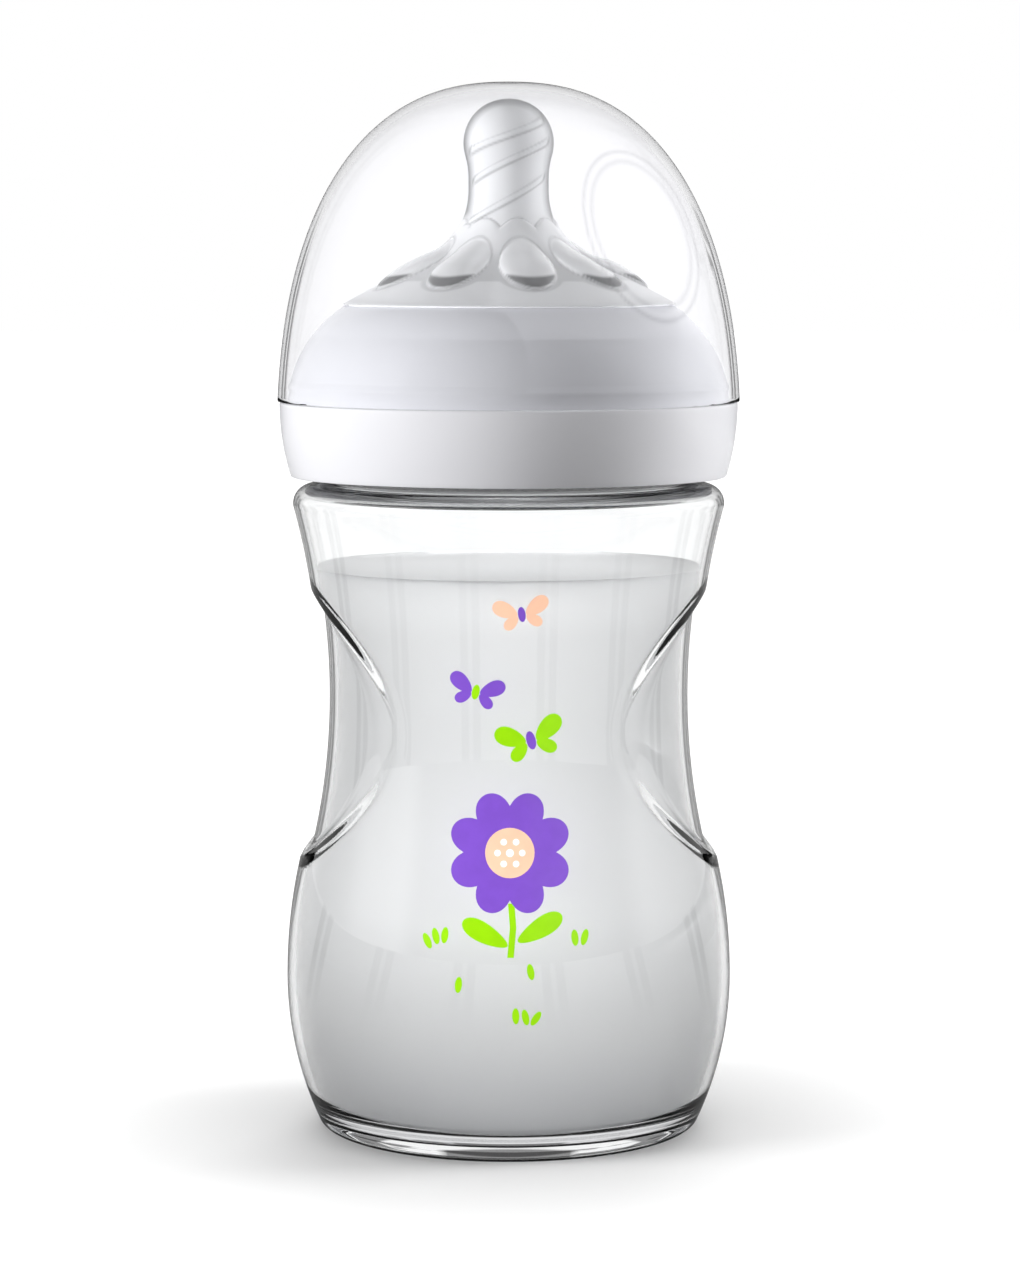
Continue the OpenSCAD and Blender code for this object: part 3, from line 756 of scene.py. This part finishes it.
def clear_body():
    """Clear thick plastic with painted shade: dark edge-on, at the neck's root and in streaks round the foot.
    """
    material, tree, output = new_material("clear_body")
    # Painted shade: dark where the plastic is seen edge-on, lighter along the grips' rims
    colour = blend(tree, mask(tree, "grip_edge"), shaded_edge_tint(tree, PLASTIC_TINT, PLASTIC_EDGE_SHADE, 0.82, 0.97),
                   shaded_edge_tint(tree, PLASTIC_TINT, GRIP_EDGE_SHADE, 0.82, 0.97))
    place = node(tree, "ShaderNodeTexCoord").outputs["Object"]
    xyz = node(tree, "ShaderNodeSeparateXYZ", {"Vector": place})
    # A dark band of painted shade at the neck's root
    colour = blend(tree, height_part(tree, xyz.outputs["Z"], *NECK_ROOT_HEIGHTS), colour, NECK_ROOT_SHADE)
    # Dark streaks of painted shade round the foot
    colour = blend(tree, foot_shade_streaks(tree, xyz), colour, FOOT_SHADE)
    return clear_plastic(material, tree, output, colour, 1.5)


def clear_cap():
    """Thin clear plastic that bends what is behind it only a little, with painted shade: greyer edge-on and
    in soft lines round the recess.
    """
    material, tree, output = new_material("clear_cap")
    colour = shaded_edge_tint(tree, CAP_TINT, CAP_EDGE_SHADE, 0.40, 0.97)
    # Painted shade lines round the recess
    colour = blend(tree, mask(tree, "outline"), colour, THUMB_LINE_SHADE)
    return clear_plastic(material, tree, output, colour, 1.13)


def white_plastic():
    """Satin white plastic for the ring."""
    material, tree, output = new_material("ring_plastic")
    colour = blend(tree, noise_range(tree, 25, 0, 1), (0.83, 0.83, 0.865, 1), (0.86, 0.86, 0.89, 1))
    bsdf = node(tree, "ShaderNodeBsdfPrincipled", {
        "Base Color": colour, "Roughness": noise_range(tree, 120, 0.20, 0.27), "IOR": 1.49,
        "Subsurface Weight": 0.08, "Subsurface Radius": (0.002, 0.002, 0.002), "Subsurface Scale": 1.0,
        "Normal": grain_bump(tree, 900, 4, 0.05)})
    tree.links.new(bsdf.outputs[0], output.inputs["Surface"])
    return material


def silicone():
    """Frosted silicone with clear glossy petals and painted shade: greyer where the stem is seen edge-on,
    between the petals, in crescents and in lines.
    """
    material, tree, output = new_material("silicone")
    petal, dark, line, stem, around = (
        mask(tree, name) for name in ("petal", "dark", "line", "stem", "around"))
    # Painted shade: greyer where the stem is seen edge-on, between the petals, in lines and in crescents
    edge = math_node(tree, "MULTIPLY", edge_on(tree, 0.42, 0.75), stem)
    colour = blend(tree, stem, CONE_GREY, STEM_GREY)
    # Painted shade between the petals
    colour = blend(tree, math_node(tree, "MULTIPLY", around, 0.6), colour, BETWEEN_PETALS_SHADE)
    colour = blend(tree, edge, colour, TEAT_EDGE_SHADE)
    # Painted shade lines along the ribs and edges
    colour = blend(tree, line, colour, TEAT_LINE_SHADE)
    # Painted shade in the petals' dark crescents
    colour = blend(tree, dark, colour, CRESCENT_SHADE)
    bsdf = node(tree, "ShaderNodeBsdfPrincipled", {
        "Base Color": colour, "Transmission Weight": map_range(tree, stem, 0, 1, 0.2, 0.5), "IOR": 1.5,
        "Roughness": map_range(tree, petal, 0, 1, 0.30, 0.04), "Normal": grain_bump(tree, 1500, 2, 0.06)})
    through_lamps(tree, bsdf.outputs[0], LAMP_THROUGH_TEAT, output)
    return material


def milk_material():
    """White liquid with painted shade that darkens and cools it a little towards the base."""
    material, tree, output = new_material("milk_liquid")
    place = node(tree, "ShaderNodeTexCoord")
    height = node(tree, "ShaderNodeSeparateXYZ", {"Vector": place.outputs["Object"]})
    part = math_node(tree, "MULTIPLY", height.outputs["Z"], 10)
    low = map_range(tree, part, 0.2, 0.02)
    # Painted shade: darker and cooler towards the base
    colour = blend(tree, low, grey_ramp(tree, part, MILK_SHADE_TONES), MILK_COOL_SHADE, "MULTIPLY")
    bsdf = node(tree, "ShaderNodeBsdfPrincipled", {
        "Base Color": colour, "Roughness": noise_range(tree, 40, 0.28, 0.36), "IOR": 1.35,
        "Subsurface Weight": 1.0, "Subsurface Radius": (0.03, 0.03, 0.03), "Subsurface Scale": 1.0})
    tree.links.new(bsdf.outputs[0], output.inputs["Surface"])
    return material


def ink(name, colour):
    """Printing ink, uneven by a few per cent."""
    material, tree, output = new_material(name)
    dark = tuple(c * 0.94 for c in colour)
    bsdf = node(tree, "ShaderNodeBsdfPrincipled", {
        "Base Color": blend(tree, noise_range(tree, 400, 0, 1), (*dark, 1), (*colour, 1)),
        "Roughness": noise_range(tree, 300, 0.32, 0.42)})
    tree.links.new(bsdf.outputs[0], output.inputs["Surface"])
    return material


def finish_piece(obj, body, slot, material, *nodes):
    """Puts a material on a piece, hangs it under the empty of its body and hides the CAD nodes it stands for.
    The slot is not used.
    """
    obj.data.materials.append(material)
    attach(obj, body)
    if nodes:
        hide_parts(*nodes)
    return obj


bottle = finish_piece(build_bottle(), "bottle", "clear_body", clear_body(), "bottle")
milk = finish_piece(build_milk(), "bottle", "clear_body", milk_material())
ring = finish_piece(build_ring(), "ring", "ring_white", white_plastic(), "screw_ring")
teat = finish_piece(build_teat(), "teat", "silicone", silicone(), "teat")
cap = finish_piece(build_cap(), "cap", "clear_cap", clear_cap(), "dome_cap")

# ---------------------------------------------------------------- prints: a flower, butterflies and grass

PURPLE = ink("ink_purple", (0.19, 0.075, 0.52))
PEACH = ink("ink_peach", (0.91, 0.55, 0.38))
GREEN = ink("ink_green", (0.29, 0.66, 0.0))
WHITE = ink("ink_white", (0.95, 0.95, 0.95))


def butterfly(name, x, z, size, turn, wings, body):
    """Two upper wings, two lower wings and a slim body, tilted by turn degrees."""
    c, s = math.cos(math.radians(turn)), math.sin(math.radians(turn))

    def at(u, v):
        return x + size * (u * c - v * s), z + size * (u * s + v * c)

    shapes = []
    for side in (1, -1):
        shapes.append(ellipse(*at(0.50 * side, 0.16), size * 0.24, size * 0.42, turn - 58 * side, 0.25))
        shapes.append(ellipse(*at(0.36 * side, -0.26), size * 0.17, size * 0.28, turn - 128 * side, 0.2))
    print_patch(name + "_wings", shapes, wings, ON_BODY)
    print_patch(name + "_body", [ellipse(*at(0, -0.04), size * 0.12, size * 0.24, turn)], body, ON_PRINT)


butterfly("butterfly_peach", 2.0, 86.1, 4.9, 8, PEACH, PURPLE)
butterfly("butterfly_purple", -5.0, 74.0, 4.9, -12, PURPLE, GREEN)
butterfly("butterfly_green", 3.4, 66.6, 6.0, 14, GREEN, PURPLE)

FLOWER_X, FLOWER_Z = 0.2, 49.2
PETAL_COUNT, PETAL_OUT, SEED_COUNT, SEED_OUT = 8, 5.4, 6, 1.9


def round_flower(count, out, first_degrees=0.0):
    """Angles and places evenly round the flower's middle."""
    for t in np.radians(np.arange(count) * (360 / count) + first_degrees):
        yield math.degrees(t), FLOWER_X + out * math.cos(t), FLOWER_Z + out * math.sin(t)


petals = [ellipse(x, z, 2.7, 4.2, turn - 90, 0.18)
          for turn, x, z in round_flower(PETAL_COUNT, PETAL_OUT, 22.5)]
print_patch("flower_petals", petals, PURPLE, ON_BODY)
print_patch("flower_middle", [ellipse(FLOWER_X, FLOWER_Z, 3.8, 3.8)], PEACH, ON_PRINT)
seeds = [ellipse(x, z, 0.5, 0.5) for _, x, z in round_flower(SEED_COUNT, SEED_OUT)]
print_patch("flower_seeds", seeds + [ellipse(FLOWER_X, FLOWER_Z, 0.6, 0.6)], WHITE, ON_TOP)
stem = np.array([(FLOWER_X + 0.7, 41.6), (FLOWER_X + 1.0, 38.0), (FLOWER_X + 0.6, 33.4),
                 (FLOWER_X - 0.4, 33.4), (FLOWER_X, 38.0), (FLOWER_X - 0.3, 41.6)])
leaves = [ellipse(FLOWER_X - 3.8, 37.0, 1.5, 3.9, 62, 0.3), ellipse(FLOWER_X + 4.6, 37.8, 1.5, 3.9, -60, 0.3)]
print_patch("flower_stem", [stem, *leaves], GREEN, ON_GREEN)

# Blades of grass: x, z and tilt in degrees. Like the butterflies, they stand where the photograph has them
BLADES = [(-12.5, 35.6, 24), (-11.2, 36.4, 12), (-9.8, 36.6, -8), (10.2, 36.2, 6), (11.7, 36.2, -14),
          (-7.7, 29.1, -6), (3.4, 31.2, 10), (1.1, 24.4, 2), (2.6, 24.2, 12), (4.2, 24.0, -34)]
print_patch("grass_blades", [ellipse(x, z, 0.55, 1.25, turn) for x, z, turn in BLADES], GREEN, ON_BODY)

# ---------------------------------------------------------------- stage, light and camera

FLOOR_HALF = 6.0
FLOOR_SEEN, FLOOR_BOUNCE, AMBIENT = 0.97, 0.2, 0.03
FLOOR_WHITE, UNDER_LIGHT = (1.2, 1.2, 1.2, 1), (0.8, 0.8, 0.81, 1)
# Distances in metres from the bottle's middle between which the floor burns out to white, for the camera and
# for rays seen through plastic, and between which its glow under the bottle fades out
BURN_OPEN, BURN_THROUGH, UNDER_FADE = (0.035, 0.10), (0.09, 0.30), (0.036, 0.031)
GLASS_WHITE = 1.14
# Thin dark flags between the eight main directions: 0 is on a main direction, 1 halfway to the next
GLASS_FLAGS = [(0.0, 1.16), (0.72, 1.12), (0.76, 0.22), (0.92, 0.22), (0.96, 0.95), (1.0, 1.0)]
FLAGS_TOP = [(0.09, 0.0), (0.15, 1.0)]
# Brightness of the surroundings by direction: from the back round by the left, front and right to the back
GLOSS_BOXES = [(0.0, 0.1), (0.06, 0.1), (0.12, 0.9), (0.22, 0.9), (0.26, 1.5), (0.33, 1.5), (0.36, 0.5),
               (0.50, 0.35), (0.62, 0.12), (0.68, 0.12), (0.72, 1.2), (0.80, 1.2), (0.88, 0.9), (0.94, 0.1),
               (1.0, 0.1)]
# The same by height: sine of the elevation, brightness
GLOSS_SKY = [(0.0, 0.8), (0.5, 1.0), (0.9, 0.6)]


def grey(brightness):
    return (brightness, brightness, brightness, 1)


def first_look(tree, path, kind):
    """1 for a ray of one kind that has met no dull surface yet."""
    fresh = math_node(tree, "LESS_THAN", path.outputs["Diffuse Depth"], 0.5)
    return math_node(tree, "MULTIPLY", path.outputs[kind], fresh)


def seen_through(tree, path):
    return first_look(tree, path, "Is Transmission Ray")


def mirrored_in(tree, path):
    return math_node(tree, "GREATER_THAN", path.outputs["Glossy Depth"], 0.5)


def flags_at(tree, turn, path):
    """White, with thin dark flags for rays that turned inside one wall, by the angle round the object."""
    eighth = math_node(tree, "PINGPONG", math_node(tree, "ABSOLUTE", turn), math.pi / 8)
    flags = grey_ramp(tree, math_node(tree, "MULTIPLY", eighth, 8 / math.pi), GLASS_FLAGS)
    one_wall = math_node(tree, "LESS_THAN", path.outputs["Transmission Depth"], 2.5)
    turned = math_node(tree, "MAXIMUM", one_wall, mirrored_in(tree, path))
    return blend(tree, turned, grey(GLASS_WHITE), flags)


def floor_material():
    """Paper that is lit around the object and burns out to white further away."""
    material, tree, output = new_material("floor_paper")
    path = node(tree, "ShaderNodeLightPath")
    camera_ray, through_ray = path.outputs["Is Camera Ray"], seen_through(tree, path)
    place = node(tree, "ShaderNodeTexCoord")
    ground = node(tree, "ShaderNodeSeparateXYZ", {"Vector": place.outputs["Object"]})
    reach = node(tree, "ShaderNodeVectorMath", {0: place.outputs["Object"]}, operation="LENGTH")
    reach = reach.outputs["Value"]

    seen = node(tree, "ShaderNodeBsdfDiffuse", {"Color": grey(FLOOR_SEEN)})
    bounce = node(tree, "ShaderNodeBsdfDiffuse", {"Color": grey(FLOOR_BOUNCE)})
    looked_at = math_node(tree, "MAXIMUM", camera_ray, through_ray)
    near = node(tree, "ShaderNodeMixShader", {0: looked_at, 1: bounce.outputs[0], 2: seen.outputs[0]})

    open_burn = map_range(tree, reach, *BURN_OPEN, interpolation_type="SMOOTHSTEP")
    burn = math_node(tree, "ADD", math_node(tree, "MULTIPLY", open_burn, camera_ray),
                     math_node(tree, "MULTIPLY", map_range(tree, reach, *BURN_THROUGH), through_ray))
    turn = math_node(tree, "ARCTAN2", ground.outputs["X"], ground.outputs["Y"])
    white = node(tree, "ShaderNodeEmission", {
        "Color": blend(tree, camera_ray, flags_at(tree, turn, path), FLOOR_WHITE), "Strength": 1.0})
    burnt = node(tree, "ShaderNodeMixShader", {0: burn, 1: near.outputs[0], 2: white.outputs[0]})

    glow = math_node(tree, "MULTIPLY", map_range(tree, reach, *UNDER_FADE), through_ray)
    lit = node(tree, "ShaderNodeEmission", {"Color": UNDER_LIGHT, "Strength": 1.0})
    whole = node(tree, "ShaderNodeMixShader", {0: glow, 1: burnt.outputs[0], 2: lit.outputs[0]})
    tree.links.new(whole.outputs[0], output.inputs["Surface"])
    return material


def build_floor():
    mesh = bpy.data.meshes.new("floor")
    corners = [(x * FLOOR_HALF, y * FLOOR_HALF, 0) for x, y in ((-1, -1), (1, -1), (1, 1), (-1, 1))]
    mesh.from_pydata(corners, [], [(0, 1, 2, 3)])
    floor = bpy.data.objects.new("floor", mesh)
    floor.data.materials.append(floor_material())
    bpy.context.scene.collection.objects.link(floor)
    return floor


def build_world():
    """White behind the bottle, with soft boxes and dark flags only for gloss and for bent rays."""
    world = bpy.data.worlds.new("studio")
    bpy.context.scene.world = world
    world.use_nodes = True
    tree = world.node_tree
    tree.nodes.clear()
    output = tree.nodes.new("ShaderNodeOutputWorld")
    path = node(tree, "ShaderNodeLightPath")
    place = node(tree, "ShaderNodeTexCoord")
    xyz = node(tree, "ShaderNodeSeparateXYZ", {"Vector": place.outputs["Generated"]})
    turn = math_node(tree, "ARCTAN2", xyz.outputs["X"], math_node(tree, "MULTIPLY", xyz.outputs["Y"], -1.0))
    boxes = grey_ramp(tree, math_node(tree, "MULTIPLY_ADD", turn, 0.5 / math.pi, 0.5), GLOSS_BOXES)
    sky = blend(tree, 1.0, boxes, grey_ramp(tree, xyz.outputs["Z"], GLOSS_SKY), "MULTIPLY")

    # Rays bent by plastic see the flags low down. Mirrored ones that do not go towards the back see the boxes
    bent = blend(tree, grey_ramp(tree, xyz.outputs["Z"], FLAGS_TOP), flags_at(tree, turn, path), grey(1.0))
    aside = map_range(tree, xyz.outputs["Y"], 0.8, 0.6)
    bent = blend(tree, math_node(tree, "MULTIPLY", mirrored_in(tree, path), aside), bent, sky)

    colour = blend(tree, first_look(tree, path, "Is Glossy Ray"), grey(AMBIENT), sky)
    colour = blend(tree, seen_through(tree, path), colour, bent)
    colour = blend(tree, path.outputs["Is Camera Ray"], colour, grey(1.0))
    background = node(tree, "ShaderNodeBackground", {"Color": colour, "Strength": 1.0})
    tree.links.new(background.outputs[0], output.inputs["Surface"])


def area_light(name, place, target, size, power, receivers=()):
    """A soft box that is never seen itself. Its light falls on the receivers, or on everything if none."""
    data = bpy.data.lights.new(name, "AREA")
    data.shape = "RECTANGLE"
    data.size, data.size_y = size
    data.energy = power
    obj = bpy.data.objects.new(name, data)
    bpy.context.scene.collection.objects.link(obj)
    obj.location = place
    obj.rotation_euler = (Vector(target) - Vector(place)).to_track_quat("-Z", "Y").to_euler()
    obj.visible_glossy = False
    obj.visible_transmission = False
    if receivers:
        group = bpy.data.collections.new(name + "_receivers")
        for receiver in receivers:
            group.objects.link(receiver)
        obj.light_linking.receiver_collection = group


floor = build_floor()
build_world()

OBJECT_MID, MILK_MID, FLOOR_MID = (0, 0, 0.1), (0, 0, 0.06), (0, 0, 0)
WIDE, SQUARE = (0.8, 0.5), (0.5, 0.5)
pieces = (bottle, ring, teat, cap, *PRINTS)
area_light("key_left", (-1.04, -0.51, 0.27), OBJECT_MID, (0.7, 0.5), 16.5, pieces)
area_light("rim_right", (1.05, 0.20, 0.25), OBJECT_MID, SQUARE, 14, (floor, *pieces))
area_light("milk_left", (-0.82, -0.86, 0.25), MILK_MID, WIDE, 11.5, (milk,))
area_light("milk_right", (0.60, -1.00, 0.22), MILK_MID, WIDE, 12.6, (milk, *PRINTS))
area_light("floor_left", (-0.90, -0.30, 0.40), FLOOR_MID, SQUARE, 7, (floor,))
area_light("milk_back", (-0.35, 1.15, 0.25), MILK_MID, WIDE, 10, (milk,))
area_light("back", (0.1, 1.2, 0.35), OBJECT_MID, WIDE, 13)
area_light("top", (0, 0.0, 1.5), OBJECT_MID, (1.4, 1.4), 12)

# The photograph's viewpoint: about 0.6 m away and looking down by 5.9 degrees
camera_data = bpy.data.cameras.new("camera")
camera_data.lens = 104.9
camera_data.sensor_width = 36
camera_data.clip_start = 0.01
camera_data.clip_end = 100
camera = bpy.data.objects.new("camera", camera_data)
bpy.context.scene.collection.objects.link(camera)
camera.location = (0.00022, -0.6, 0.141)
camera.rotation_euler = (math.radians(90 - 5.943), 0, 0)
bpy.context.scene.camera = camera

bpy.context.scene.view_settings.view_transform = "Standard"
